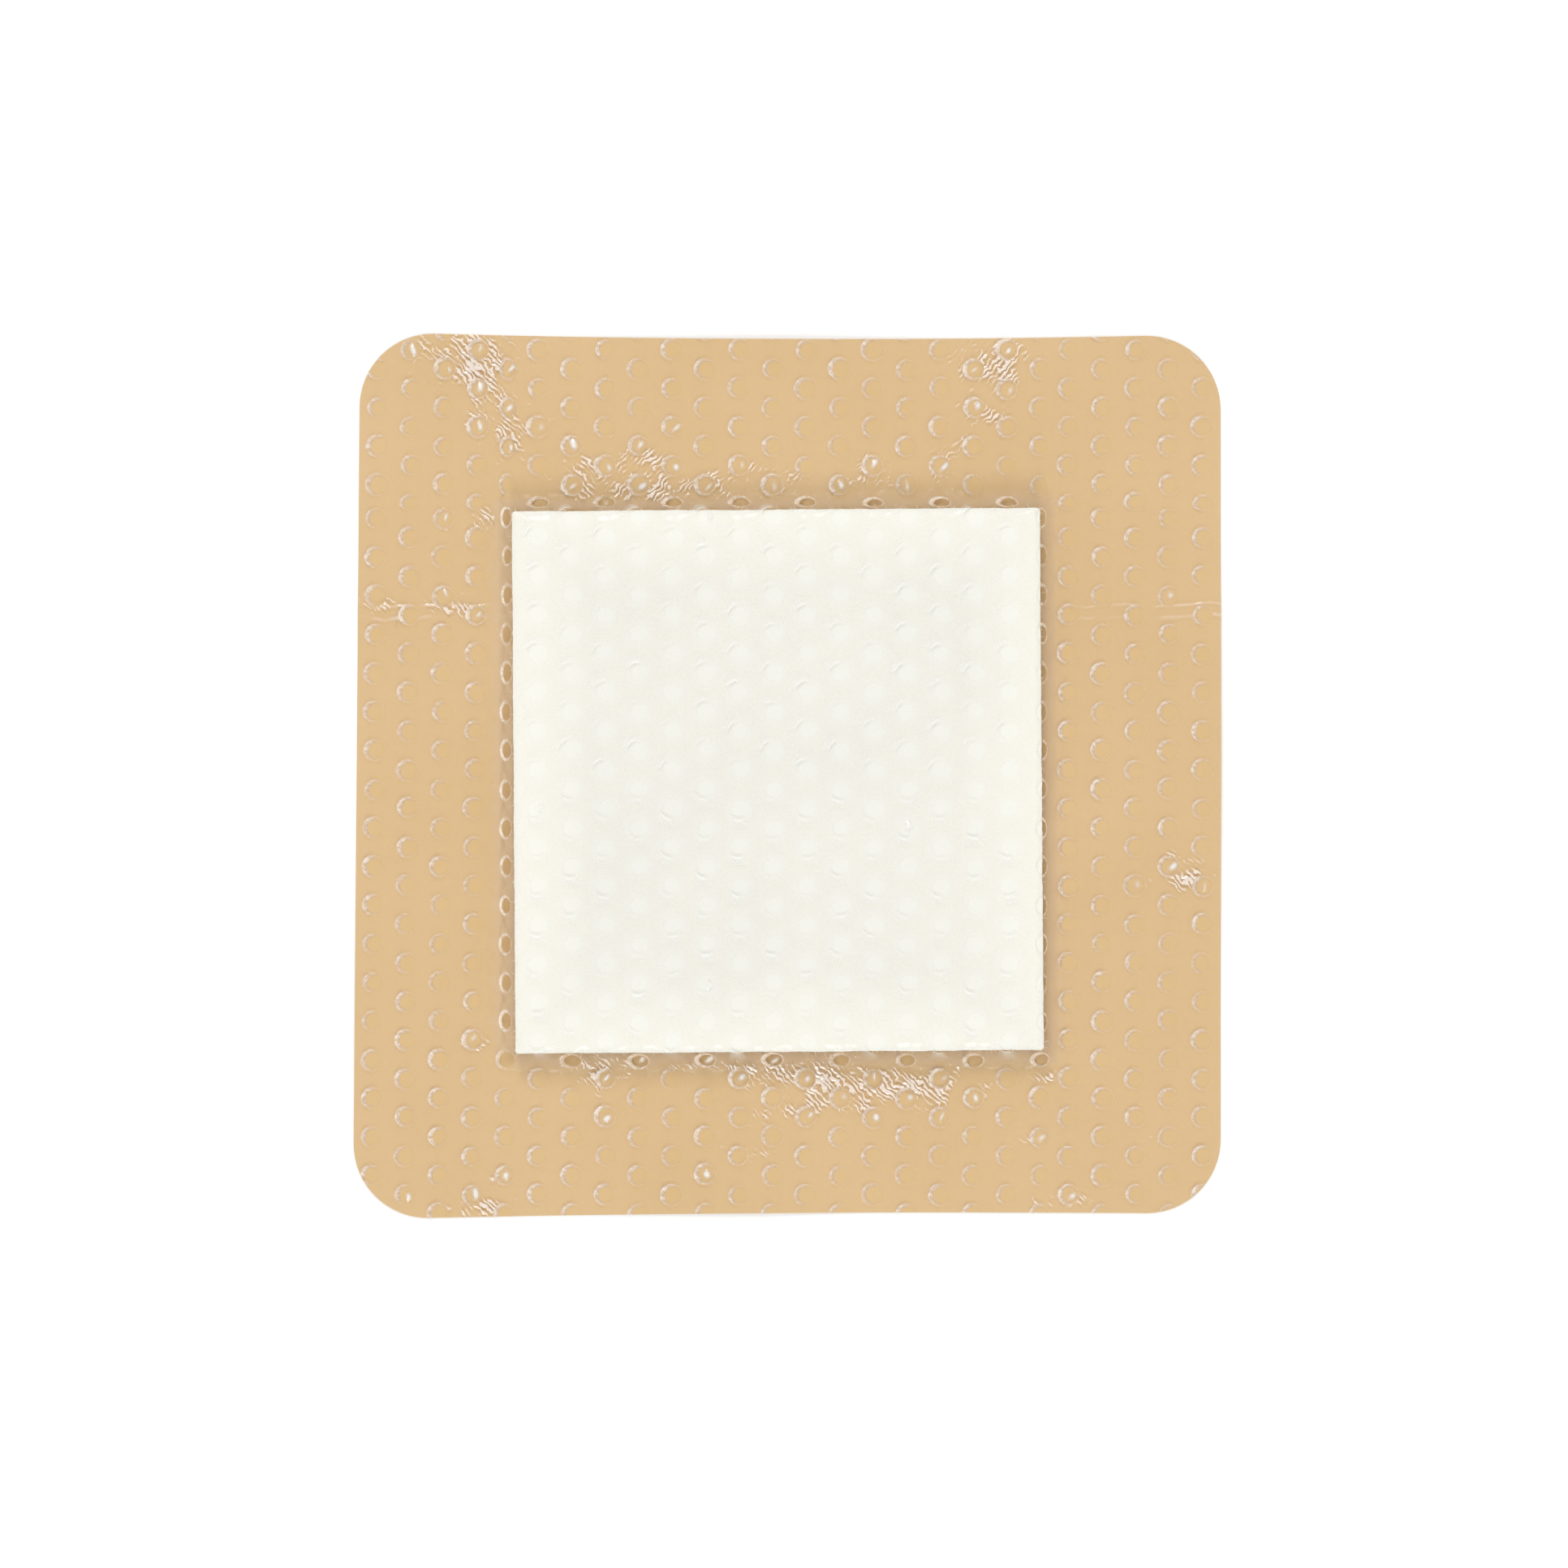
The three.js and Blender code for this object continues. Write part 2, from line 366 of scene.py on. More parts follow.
def tent_share(pad, film, x, y):
    """0 over the pad, 1 beyond the tent, and the share of the way down the slope in between.
    The two directions join as (a^5 + b^5)^(1/5), which rounds the ridge that runs off each corner."""
    u, v = pad_frame(pad, x, y)
    past_x = np.abs(u) - pad.width / 2
    past_y = np.abs(v) - pad.length / 2
    a = np.clip(past_x / np.where(u < 0, film.tent_left, film.tent_right), 0, 1)
    b = np.clip(past_y / np.where(v < 0, film.tent_near, film.tent_far), 0, 1)
    return np.clip((a**5 + b**5) ** 0.2, 0, 1)


def mesh_piece(name, points, faces, material, attributes=None):
    """A smooth-shaded piece from its points and faces, with a float attribute for each list of values."""
    mesh = bpy.data.meshes.new(name)
    mesh.from_pydata(points.tolist(), [], faces)
    for key, values in (attributes or {}).items():
        mesh.attributes.new(key, "FLOAT", "POINT").data.foreach_set("value", values.astype(np.float32))
    mesh.validate()
    mesh.shade_smooth()
    mesh.set_sharp_from_angle(angle=SHARP_ANGLE)
    mesh.materials.append(material)
    piece = bpy.data.objects.new(name, mesh)
    bpy.context.scene.collection.objects.link(piece)
    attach(piece, BODY)
    return piece


def closed_rings(rings, count):
    """Quads between successive closed rings of count points each, as rows of four indices."""
    r = np.arange(rings - 1)[:, None] * count
    k = np.arange(count)[None]
    after = (k + 1) % count
    return np.stack([r + k, r + after, r + count + after, r + count + k], -1).reshape(-1, 4)


def capped(rings):
    """Points and faces of a closed skin through rings of points. Each end is closed by a fan about its
    middle."""
    count = rings.shape[1]
    ends = np.stack([rings[0].mean(0), rings[-1].mean(0)])
    points = np.concatenate([rings.reshape(-1, 3), ends])
    faces = closed_rings(len(rings), count).tolist()
    k = np.arange(count)
    after = (k + 1) % count
    low, high = len(points) - 2, len(points) - 1
    last = (len(rings) - 1) * count
    faces += np.stack([np.full(count, low), after, k], -1).tolist()
    faces += np.stack([np.full(count, high), last + k, last + after], -1).tolist()
    return points, faces


# Materials


def new_material(name):
    """A material with its nodes and links."""
    material = bpy.data.materials.new(name)
    material.use_nodes = True
    return material, material.node_tree.nodes, material.node_tree.links


def add_node(nodes, kind, **values):
    """A node of that kind, with its settings. A key that is no setting is the name of a socket, with an
    underscore for each space."""
    node = nodes.new(kind)
    for key, value in values.items():
        if hasattr(node, key):
            setattr(node, key, value)
        else:
            node.inputs[key.replace("_", " ")].default_value = value
    return node


def mottle_group():
    """A node group that gives a slow and a fine variation over Object coordinates, for the tan film and the
    foam.
    """
    if "soft mottle" in bpy.data.node_groups:
        return bpy.data.node_groups["soft mottle"]
    group = bpy.data.node_groups.new("soft mottle", "ShaderNodeTree")
    socket = group.interface.new_socket
    for name, default in (("Slow Scale", 80.0), ("Fine Scale", 900.0), ("Fine Share", 0.3)):
        socket(name, in_out="INPUT", socket_type="NodeSocketFloat").default_value = default
    socket("Value", in_out="OUTPUT", socket_type="NodeSocketFloat")
    nodes, links = group.nodes, group.links
    enter, leave = nodes.new("NodeGroupInput"), nodes.new("NodeGroupOutput")
    place = nodes.new("ShaderNodeTexCoord")
    slow = add_node(nodes, "ShaderNodeTexNoise", Detail=4.0, Roughness=0.55)
    fine = add_node(nodes, "ShaderNodeTexNoise", Detail=3.0, Roughness=0.6)
    blend = nodes.new("ShaderNodeMix")
    for noise, scale in ((slow, "Slow Scale"), (fine, "Fine Scale")):
        links.new(place.outputs["Object"], noise.inputs["Vector"])
        links.new(enter.outputs[scale], noise.inputs["Scale"])
    links.new(enter.outputs["Fine Share"], blend.inputs["Factor"])
    links.new(slow.outputs["Fac"], blend.inputs["A"])
    links.new(fine.outputs["Fac"], blend.inputs["B"])
    links.new(blend.outputs["Result"], leave.inputs["Value"])
    return group


def mottle(nodes, slow, fine, share):
    """The soft mottle with its two scales, and how much of it is the fine one."""
    node = nodes.new("ShaderNodeGroup")
    node.node_tree = mottle_group()
    node.inputs["Slow Scale"].default_value = slow
    node.inputs["Fine Scale"].default_value = fine
    node.inputs["Fine Share"].default_value = share
    return node.outputs["Value"]


def colour_ramp(nodes, links, source, low, high, start=0.3, end=0.7):
    """Runs a value through a ramp between two colours."""
    ramp = nodes.new("ShaderNodeValToRGB")
    ramp.color_ramp.elements[0].position = start
    ramp.color_ramp.elements[1].position = end
    ramp.color_ramp.elements[0].color = (*low, 1)
    ramp.color_ramp.elements[1].color = (*high, 1)
    links.new(source, ramp.inputs["Fac"])
    return ramp.outputs["Color"]


def value_range(nodes, links, source, low, high, start=0.0, end=1.0):
    """Maps a value from start to end on to low to high."""
    node = nodes.new("ShaderNodeMapRange")
    for key, value in (("From Min", start), ("From Max", end), ("To Min", low), ("To Max", high)):
        node.inputs[key].default_value = value
    links.new(source, node.inputs["Value"])
    return node.outputs["Result"]


def combine(nodes, links, operation, *parts, clamp=False):
    """Runs values, sockets or numbers, through one kind of maths, two at a time from the left.
    A multiply and add takes all three of its values at once."""
    total = parts[0]
    rest = [parts[1:]] if operation == "MULTIPLY_ADD" else [(part,) for part in parts[1:]]
    for further in rest:
        node = add_node(nodes, "ShaderNodeMath", operation=operation, use_clamp=clamp)
        for socket, value in zip(node.inputs, (total, *further)):
            if isinstance(value, (int, float)):
                socket.default_value = value
            else:
                links.new(value, socket)
        total = node.outputs[0]
    return total


def blend_colours(nodes, links, factor, first, second):
    """Goes from the first colour, which is a socket, to the second, which is fixed, by a factor."""
    node = nodes.new("ShaderNodeMix")
    node.data_type = "RGBA"
    node.inputs["B"].default_value = (*second, 1)
    links.new(factor, node.inputs["Factor"])
    links.new(first, node.inputs["A"])
    return node.outputs["Result"]


def object_noise(nodes, links, scale, **settings):
    """Noise over the piece's own coordinates."""
    place = nodes.new("ShaderNodeTexCoord")
    node = add_node(nodes, "ShaderNodeTexNoise", Scale=scale, **settings)
    links.new(place.outputs["Object"], node.inputs["Vector"])
    return node.outputs["Fac"]


def add_relief(nodes, links, shader, height, strength, distance):
    """Bumps a shader's surface by a height."""
    node = add_node(nodes, "ShaderNodeBump", Strength=strength, Distance=distance)
    links.new(height, node.inputs["Height"])
    links.new(node.outputs["Normal"], shader.inputs["Normal"])


def tinted(rgb, factors):
    """A colour with each of its parts multiplied, none past 1."""
    return tuple(min(1, part * factor) for part, factor in zip(rgb, factors))


def near_pad_edge(nodes, links, pad, reach):
    """1 at the pad's cut edge and 0 from one reach beyond it, by the larger of the distances past its sides.
    A reach below 0 runs inwards."""
    place = nodes.new("ShaderNodeTexCoord")
    turn = nodes.new("ShaderNodeMapping")
    turn.vector_type = "TEXTURE"
    turn.inputs["Location"].default_value = (pad.x, pad.y, 0)
    turn.inputs["Rotation"].default_value = (0, 0, pad.turn)
    links.new(place.outputs["Object"], turn.inputs["Vector"])
    axes = nodes.new("ShaderNodeSeparateXYZ")
    links.new(turn.outputs["Vector"], axes.inputs[0])
    past = []
    for axis, size in (("X", pad.width), ("Y", pad.length)):
        from_middle = combine(nodes, links, "ABSOLUTE", axes.outputs[axis], 0.0)
        past.append(combine(nodes, links, "SUBTRACT", from_middle, size / 2))
    beyond = combine(nodes, links, "MAXIMUM", *past)
    if reach < 0:
        return value_range(nodes, links, beyond, 0, 1, start=reach, end=0)
    return value_range(nodes, links, beyond, 1, 0, start=0, end=reach)


def tan_film_material(tan, pad):
    """Thin satin polyurethane film: an even tan with slow cloudiness and a fine grain, and painted shade that
    browns it right next to the pad, where the lifted clear film keeps the light off it."""
    material, nodes, links = new_material("tan_backing_film")
    shader = nodes["Principled BSDF"]
    cloud = mottle(nodes, 45, 1400, 0.25)
    light = tinted(tan, (1.03, 1.035, 1.06))
    deep = tinted(tan, (0.97, 0.955, 0.92))
    painted_pad_shade = tinted(tan, (0.74, 0.71, 0.72))
    cloudy = colour_ramp(nodes, links, cloud, deep, light)
    # Painted shade: the tan browns right next to the pad's edge, where the lifted clear film keeps the light
    # off it.
    beside = near_pad_edge(nodes, links, pad, 1.9 * MM)
    links.new(blend_colours(nodes, links, beside, cloudy, painted_pad_shade), shader.inputs["Base Color"])
    rough = value_range(nodes, links, cloud, 0.34, 0.5, start=0.3, end=0.7)
    links.new(rough, shader.inputs["Roughness"])
    add_relief(nodes, links, shader, cloud, 0.12, 0.04 * MM)
    return material


def foam_material(foam, pad):
    """White open-celled foam: a matt white, pitted by cells a fifth of a millimetre across, and a little
    whiter towards its cut edges."""
    material, nodes, links = new_material("white_foam")
    shader = nodes["Principled BSDF"]
    shader.inputs["Roughness"].default_value = 0.92
    shader.inputs["Specular IOR Level"].default_value = 0.2
    cloud = mottle(nodes, 70, 2600, 0.35)
    warm = tinted(foam, (1.02, 1.02, 1.03))
    cool = tinted(foam, (0.965, 0.975, 0.985))
    whiter = tinted(foam, (1.07, 1.07, 1.07))
    cloudy = colour_ramp(nodes, links, cloud, cool, warm)
    at_edge = near_pad_edge(nodes, links, pad, -9 * MM)
    links.new(blend_colours(nodes, links, at_edge, cloudy, whiter), shader.inputs["Base Color"])
    place = nodes.new("ShaderNodeTexCoord")
    cells = add_node(nodes, "ShaderNodeTexVoronoi", Scale=5200.0)
    links.new(place.outputs["Object"], cells.inputs["Vector"])
    add_relief(nodes, links, shader, cells.outputs["Distance"], 0.35, 0.08 * MM)
    return material


def crossing_fold_group():
    """A node group that is 1 along the lines of the fold that crosses both borders, and 0 elsewhere: where
    the film is bumped and painted with lines of highlight.
    """
    group = bpy.data.node_groups.new("crossing fold", "ShaderNodeTree")
    group.interface.new_socket("Value", in_out="OUTPUT", socket_type="NodeSocketFloat")
    nodes, links = group.nodes, group.links
    leave = nodes.new("NodeGroupOutput")
    place = nodes.new("ShaderNodeTexCoord")
    axes = nodes.new("ShaderNodeSeparateXYZ")
    links.new(place.outputs["Object"], axes.inputs[0])
    squash = nodes.new("ShaderNodeMapping")
    squash.inputs["Scale"].default_value = (1, 0.15, 1)
    links.new(place.outputs["Object"], squash.inputs["Vector"])
    wander = add_node(nodes, "ShaderNodeTexNoise", Scale=200.0, Detail=1.0)
    links.new(squash.outputs["Vector"], wander.inputs["Vector"])
    moved = combine(nodes, links, "MULTIPLY_ADD", wander.outputs["Fac"], FOLD_WANDER, axes.outputs["Y"])
    lines = []
    for offset, half_width in ((-0.5 * FOLD_GAP, 0.32 * MM), (0.5 * FOLD_GAP, 0.2 * MM)):
        away = combine(nodes, links, "SUBTRACT", moved, FOLD_Y + FOLD_WANDER / 2 + offset)
        size = combine(nodes, links, "ABSOLUTE", away, 0.0)
        lines.append(value_range(nodes, links, size, 1, 0, start=0, end=half_width))
    x = axes.outputs["X"]
    left = value_range(nodes, links, x, 1, 0.12, start=FOLD_LEFT - 2 * MM, end=FOLD_LEFT + 1 * MM)
    right = value_range(nodes, links, x, 0.12, 0.5, start=FOLD_RIGHT, end=FOLD_RIGHT + FOLD_FADE)
    side = combine(nodes, links, "MAXIMUM", left, right)
    patchy = object_noise(nodes, links, 300.0, Detail=1.0)
    broken = value_range(nodes, links, patchy, 0.05, 1, start=0.4, end=0.62)
    shown = combine(nodes, links, "MULTIPLY", combine(nodes, links, "MAXIMUM", *lines), side, broken)
    links.new(shown, leave.inputs["Value"])
    return group


HOLE_FOOT_PAINTED_SHADE = (0.34, 0.19, 0.085)  # painted shade: the tan film at the deep foot of a hole's wall, browned where the wall shadows it
PAINTED_GLINT_WHITE = (1, 0.995, 0.96)  # painted glint: the white painted on the silicone where a lamp glints in it


def silicone_shader(name, clear):
    """The clear silicone's own shader with a glossy finish, and the mesh's values by name: how much it veils
    what is behind, how milky and how wrinkled it is, where a painted glint whitens it, and how much painted
    shade browns it."""
    material, nodes, links = new_material(name)
    shader = nodes["Principled BSDF"]
    shader.inputs["IOR"].default_value = 2.0
    values = {}
    for key in ("veil", "milk", "wrinkle_and_sheen", "painted_glint", "shade"):
        values[key] = add_node(nodes, "ShaderNodeAttribute", attribute_name=key).outputs["Fac"]
    # Painted shade browns the foot of each hole's wall, and painted glints whiten the rims over the pad and
    # the drops.
    deep = colour_ramp(nodes, links, values["shade"], clear, HOLE_FOOT_PAINTED_SHADE, start=0, end=1)
    glint = combine(nodes, links, "MULTIPLY", values["painted_glint"], 5.0, clamp=True)
    links.new(blend_colours(nodes, links, glint, deep, PAINTED_GLINT_WHITE), shader.inputs["Base Color"])
    return material, nodes, links, shader, values


def milky_rim_material(clear):
    """The walls and rims of the holes: the same silicone, whitened where it was punched, and less glossy."""
    material, nodes, links, shader, values = silicone_shader("milky_silicone", clear)
    shader.inputs["IOR"].default_value = 1.43
    grain = object_noise(nodes, links, 2400.0, Detail=1.0)
    patchy = value_range(nodes, links, grain, 0.5, 1.1, start=0.35, end=0.65)
    white = combine(nodes, links, "MULTIPLY", values["milk"], patchy)
    # Painted glints: the rims over the pad turn more opaque, so their white shows.
    shine = combine(nodes, links, "MULTIPLY_ADD", values["painted_glint"], 0.85, 0.03)
    links.new(combine(nodes, links, "ADD", white, shine, clamp=True), shader.inputs["Alpha"])
    links.new(value_range(nodes, links, grain, 0.2, 0.45), shader.inputs["Roughness"])
    add_relief(nodes, links, shader, grain, 0.4, 0.05 * MM)
    return material


def under_silicone_material(clear):
    """The film's underside: a faint veil, and the milk that shows at the holes."""
    material, nodes, links, shader, values = silicone_shader("clear_silicone_under", clear)
    shader.inputs["Roughness"].default_value = 0.2
    milk = combine(nodes, links, "MULTIPLY", values["milk"], 0.3)
    faint = combine(nodes, links, "MULTIPLY_ADD", values["veil"], 0.02, milk)
    links.new(faint, shader.inputs["Alpha"])
    add_relief(nodes, links, shader, object_noise(nodes, links, 900.0, Detail=1.0), 0.2, 0.04 * MM)
    return material


LEANS_LEFT_FROM = -22 * MM  # right of this, the streaks of the far half run down to the left


def streak_waves(nodes, links):
    """Bands that run aslant, as the film's wrinkles and their painted highlights do: down to the right, but
    in most of the far half down to the left."""
    place = nodes.new("ShaderNodeTexCoord")
    axes = nodes.new("ShaderNodeSeparateXYZ")
    links.new(place.outputs["Object"], axes.inputs[0])
    far = combine(nodes, links, "GREATER_THAN", axes.outputs["Y"], 0.0)
    right = combine(nodes, links, "GREATER_THAN", axes.outputs["X"], LEANS_LEFT_FROM)
    turned = combine(nodes, links, "MULTIPLY_ADD", combine(nodes, links, "MULTIPLY", far, right), -2.0, 1.0)
    leaning = nodes.new("ShaderNodeCombineXYZ")
    links.new(combine(nodes, links, "MULTIPLY", axes.outputs["X"], turned), leaning.inputs["X"])
    links.new(axes.outputs["Y"], leaning.inputs["Y"])
    waves = add_node(
        nodes, "ShaderNodeTexWave", bands_direction="DIAGONAL", Scale=780.0, Distortion=11.0, Detail=2.0,
        Detail_Scale=0.8, Detail_Roughness=0.6,
    )
    links.new(leaning.outputs["Vector"], waves.inputs["Vector"])
    return waves.outputs["Fac"]


def silicone_material(clear):
    """Clear soft silicone: almost see-through on the flat, milky round the holes, with a glossy finish,
    bumped and streaked with painted highlight where the mesh says that it is wrinkled and along the crossing
    fold, and whitened by painted glints."""
    material, nodes, links, shader, values = silicone_shader("clear_silicone", clear)
    patchy = object_noise(nodes, links, 700.0, Detail=1.5, Roughness=0.6)
    patches = value_range(nodes, links, patchy, 0, 0.5, start=0.3, end=0.7)
    folds_and_sheen = combine(nodes, links, "MULTIPLY_ADD", streak_waves(nodes, links), 0.5, patches)
    below = combine(nodes, links, "SUBTRACT", folds_and_sheen, 1.0)
    above = combine(nodes, links, "MULTIPLY_ADD", values["wrinkle_and_sheen"], 0.62, below)
    streaks = value_range(nodes, links, above, 0, 1, start=0, end=0.2)
    group = nodes.new("ShaderNodeGroup")
    group.node_tree = crossing_fold_group()
    fold = group.outputs["Value"]
    # Painted highlight: along the streaks where the film is wrinkled and along the fold's lines, the film
    # turns nearly opaque so its pale colour shows as sheen; the same pattern also bumps it below.
    painted_sheen = combine(nodes, links, "MAXIMUM", streaks, fold)
    shares = ((values["veil"], 0.035), (values["milk"], 0.42), (painted_sheen, 0.85), (values["painted_glint"], 0.85))
    parts = [combine(nodes, links, "MULTIPLY", value, share) for value, share in shares]
    links.new(combine(nodes, links, "ADD", *parts, clamp=True), shader.inputs["Alpha"])
    links.new(value_range(nodes, links, patchy, 0.1, 0.2, start=0.3, end=0.7), shader.inputs["Roughness"])
    ripples = combine(nodes, links, "MULTIPLY", folds_and_sheen, values["wrinkle_and_sheen"], 2.0)
    height = combine(nodes, links, "ADD", ripples, fold, combine(nodes, links, "MULTIPLY", patchy, 0.3))
    add_relief(nodes, links, shader, height, 0.5, 0.12 * MM)
    return material


# The pieces


def backing_rings(outline, rings=44):
    """Under and upper side of the backing film as shares s of the way out to the outline, s * outline(t).
    The rings go from the middle of the underside out, over the cut edge and back to the middle on top."""
    line = outline_points(outline)
    share = np.linspace(0.02, 1, rings)[:, None, None]
    flat = share * line[None]
    lift = border_lift(flat[..., 0], flat[..., 1])
    low = np.concatenate([flat, (lift + BACKING_LOW.z)[..., None]], -1)
    high = np.concatenate([flat, (lift + BACKING_HIGH.z)[..., None]], -1)
    return np.concatenate([low, high[::-1]])


class MakeBackingFilm(bpy.types.Operator):
    """Make the tan backing film"""

    bl_idname = "dressing.backing_film"
    bl_label = "Backing film"

    def execute(self, context):
        scene = context.scene
        outline = scene.dressing_outline
        points, faces = capped(backing_rings(outline))
        material = tan_film_material(tuple(scene.dressing_backing.tan), scene.dressing_pad)
        piece = mesh_piece("tan_backing_film", points, faces, material)
        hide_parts("backing_film")
        outline_area(outline)
        return {"FINISHED"}


EDGE_WAVER = ((0.035 * MM, 2.2 * MM, 31), (0.03 * MM, 0.45 * MM, 32))  # height, length and seed
TOP_UNEVEN = 0.02 * MM
WAIST = 0.12 * MM  # how far the cut side bows in
SIDE_RINGS = 10


def pad_outline(pad, side_steps=150, corner_steps=4):
    """The pad's cut edge in its own frame: a rectangle with tight corners, whose sides waver by less than a
    tenth of a millimetre."""
    radius = 2.5 * pad.edge_radius
    reach = np.array([pad.width, pad.length]) / 2 - radius
    middles = np.array([(-1, -1), (1, -1), (1, 1), (-1, 1)]) * reach
    arcs = []
    for i, middle in enumerate(middles):
        angle = (i + 2) * math.pi / 2 + np.linspace(0, math.pi / 2, corner_steps + 1)
        arcs.append(middle + radius * np.stack([np.cos(angle), np.sin(angle)], 1))
    t = np.linspace(0, 1, side_steps + 1)[1:-1, None]
    parts = []
    for arc, following in zip(arcs, arcs[1:] + arcs[:1]):
        parts += [arc, arc[-1] + (following[0] - arc[-1]) * t]
    line = np.concatenate(parts)
    waver = sum(height * soft_noise(*line.T, scale, seed) for height, scale, seed in EDGE_WAVER)
    return line * (1 + waver / np.linalg.norm(line, axis=1))[:, None]


def pad_rings(pad, rings=40):
    """The foam block as rings about its middle: shares of its cut edge along the bottom, up the side and
    back along the top. The side bows in a little, and the top is not quite even."""
    line = pad_outline(pad)
    size = np.array([pad.width, pad.length]) / 2
    low, high, radius = PAD_LOW.z, PAD_HIGH.z, pad.edge_radius
    share = np.linspace(0.02, 1 - radius / size.min(), rings)
    side = np.linspace(low + radius, high - radius, SIDE_RINGS)
    inset = WAIST * np.sin(np.linspace(0, math.pi, len(side))) / size.min()
    shares = np.concatenate([share, 1 - inset, share[::-1]])
    heights = np.concatenate([np.full(rings, low), side, np.full(rings, high)])
    flat = shares[:, None, None] * line[None]
    z = np.broadcast_to(heights[:, None], flat.shape[:2]).copy()
    uneven = TOP_UNEVEN * (soft_noise(flat[..., 0], flat[..., 1], 2.5 * MM, 33) - 1)
    z[rings + len(side):] += uneven[rings + len(side):]
    x, y = from_pad_frame(pad, flat[..., 0], flat[..., 1])
    return np.stack([x, y, z], -1)


def fibre_tubes(pad, count, steps=5, sides=3):
    """Short loose fibres out of the cut edge, low enough to stay under the slope of the clear film. Each is a
    thin tube along root + out * sin(1.9 t) + sideways * sin(bend * t) / bend, which droops by t^2."""
    rng = np.random.default_rng(41)
    line = pad_outline(pad)
    pick = rng.integers(0, len(line), count)
    root = line[pick]
    ahead = line[(pick + 1) % len(line)] - line[pick - 1]
    along = ahead / np.linalg.norm(ahead, axis=1)[:, None]
    out = np.stack([along[:, 1], -along[:, 0]], 1)
    reach = rng.gamma(2.0, 0.13, count).clip(0.08, 0.75) * MM
    sway = rng.uniform(-0.8, 0.8, count) * MM
    bend = rng.uniform(1.0, 3.0, count)
    t = np.linspace(0, 1, steps)
    outwards = reach[:, None] * np.sin(1.9 * t) - 0.05 * MM
    sideways = sway[:, None] * np.sin(bend[:, None] * t) / bend[:, None]
    path = root[:, None] + out[:, None] * outwards[..., None] + along[:, None] * sideways[..., None]
    height = PAD_LOW.z + (PAD_HIGH.z - PAD_LOW.z) * rng.uniform(0.3, 0.66, count)
    z = height[:, None] - 0.25 * MM * (t**2)[None]
    x, y = from_pad_frame(pad, path[..., 0], path[..., 1])
    middle = np.stack([x, y, z], -1)
    angle = np.arange(sides) * 2 * math.pi / sides
    thick = np.linspace(0.026, 0.012, steps)[None, :, None, None] * MM
    side = np.concatenate([along, np.zeros((count, 1))], 1)[:, None, None]
    up = np.array([0.0, 0.0, 1.0])
    ring = side * np.cos(angle)[None, None, :, None] + up * np.sin(angle)[None, None, :, None]
    return middle[:, :, None] + thick * ring


def tube_faces(count, steps, sides, first):
    """Faces of many equal tubes with closed ends, whose points follow one another."""
    quads = closed_rings(steps, sides)
    start = first + np.arange(count)[:, None, None] * steps * sides
    faces = (start + quads[None]).reshape(-1, 4).tolist()
    ends = np.array([np.arange(sides)[::-1], (steps - 1) * sides + np.arange(sides)])
    faces += (start + ends[None]).reshape(-1, sides).tolist()
    return faces


class MakeFoamPad(bpy.types.Operator):
    """Make the foam pad with its fibrous cut edges"""

    bl_idname = "dressing.foam_pad"
    bl_label = "Foam pad"

    def execute(self, context):
        scene = context.scene
        pad = scene.dressing_pad
        points, faces = capped(pad_rings(pad))
        tubes = fibre_tubes(pad, pad.fibres)
        faces += tube_faces(*tubes.shape[:3], len(points))
        points = np.concatenate([points, tubes.reshape(-1, 3)])
        piece = mesh_piece("foam_pad_with_fibres", points, faces, foam_material(tuple(pad.foam), pad))
        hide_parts("foam_pad")
        return {"FINISHED"}


HOLE_POINTS = 18  # round each hole; a multiple of six, so that neighbouring cells share their corners
CREST_AT = 0.09 * MM  # from a hole's mouth to the top of its soft rim
CREST_FOOT_AT = 0.27 * MM  # and to the rim's outer foot
FILM_GAP = 0.03 * MM  # between the film and what it lies on
HOLE_SPREAD = 0.035  # how much the holes differ in size, as a share of it
HOLE_STRAY = 0.05 * MM  # how far they stray from the net
HOLE_WOBBLE = 0.02  # how far from round they are, as a share of their size
SLOPE_REACH = 0.6 * MM  # how far past either end of a slope the holes still look narrower
SLOPE_ACROSS, SLOPE_ALONG = 0.68, 0.72  # and how much narrower, at the pad's sides and at its ends
PUNCHED_SHARE = 0.17  # how much of the film the holes take away
FOOT_SHADE = 0.3  # how much painted shade browns the foot of a hole's wall beyond the pad

# How milky the film is at a hole's mouth, its crest, the foot of that and the cell's edge, and how much it
# veils what is behind.
RING_MILK = (1.0, 0.55, 0.05, 0.0)
RING_VEIL = (0.0, 0.25, 0.6, 1.0)

DASH_FAR, DASH_NEAR = math.radians(128), math.radians(262)  # where the painted glints sit on the rims over the pad, on the sides that face the lamps
MILKY_SIDE = math.radians(162)  # the side of a hole whose wall is wide and shows most
CLEAR, UNDER, MILKY = 0, 1, 2  # the film's finishes, in the order of its materials


def hole_cells(outline, film):
    """Middles of the holes in the flat film, on a triangular net that reaches one cell past the outline."""
    pitch = film.hole_spacing * math.sin(math.pi / 3)
    columns = int(outline.width / 2 / pitch) + 3
    rows = int(outline.length / 2 / film.hole_spacing) + 3
    i, j = np.meshgrid(np.arange(-columns, columns + 1), np.arange(-rows, rows + 1), indexing="ij")
    x = film.first_x + i * pitch
    y = film.first_y + j * film.hole_spacing - (i % 2) * film.hole_spacing / 2
    return np.stack([x.ravel(), y.ravel()], 1)


